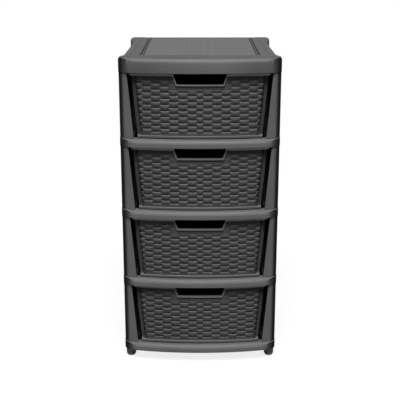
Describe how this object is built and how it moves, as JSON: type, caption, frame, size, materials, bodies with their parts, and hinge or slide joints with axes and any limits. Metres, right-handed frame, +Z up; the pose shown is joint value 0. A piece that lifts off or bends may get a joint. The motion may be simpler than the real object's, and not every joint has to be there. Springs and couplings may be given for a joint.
{
  "type": "drawer tower",
  "caption": "Free-standing plastic drawer tower with bowed rails, woven-effect drawer fronts with notched pulls, a flat grooved lid and round fluted feet.",
  "frame": {"origin": "on the floor, under the middle of the tower's bounding box", "axes": "+Z up, front with the drawers towards -Y, +X to the right as seen from the front"},
  "size_m": [0.38, 0.46, 0.761],
  "materials": {
    "frame_plastic": "satin moulded grey",
    "drawer_plastic": "satin moulded grey, woven relief on the front",
    "foot_plastic": "satin moulded grey"
  },
  "bodies": {
    "tower": {"top_panel": "frame_plastic", "shelf_1": "frame_plastic", "shelf_2": "frame_plastic", "shelf_3": "frame_plastic", "base_shelf": "frame_plastic", "left_side_1": "frame_plastic", "right_side_1": "frame_plastic", "left_side_2": "frame_plastic", "right_side_2": "frame_plastic", "left_side_3": "frame_plastic", "right_side_3": "frame_plastic", "left_side_4": "frame_plastic", "right_side_4": "frame_plastic", "foot_front_left": "foot_plastic", "foot_front_right": "foot_plastic", "foot_rear_left": "foot_plastic", "foot_rear_right": "foot_plastic"},
    "drawer_1": {"drawer_1": "drawer_plastic"},
    "drawer_2": {"drawer_2": "drawer_plastic"},
    "drawer_3": {"drawer_3": "drawer_plastic"},
    "drawer_4": {"drawer_4": "drawer_plastic"}
  },
  "joints": [
    {"name": "drawer_1_slide", "type": "slide", "parent": "tower", "child": "drawer_1", "axis": [0, -1, 0], "range_m": [0, 0.3]},
    {"name": "drawer_2_slide", "type": "slide", "parent": "tower", "child": "drawer_2", "axis": [0, -1, 0], "range_m": [0, 0.3]},
    {"name": "drawer_3_slide", "type": "slide", "parent": "tower", "child": "drawer_3", "axis": [0, -1, 0], "range_m": [0, 0.3]},
    {"name": "drawer_4_slide", "type": "slide", "parent": "tower", "child": "drawer_4", "axis": [0, -1, 0], "range_m": [0, 0.3]}
  ]
}
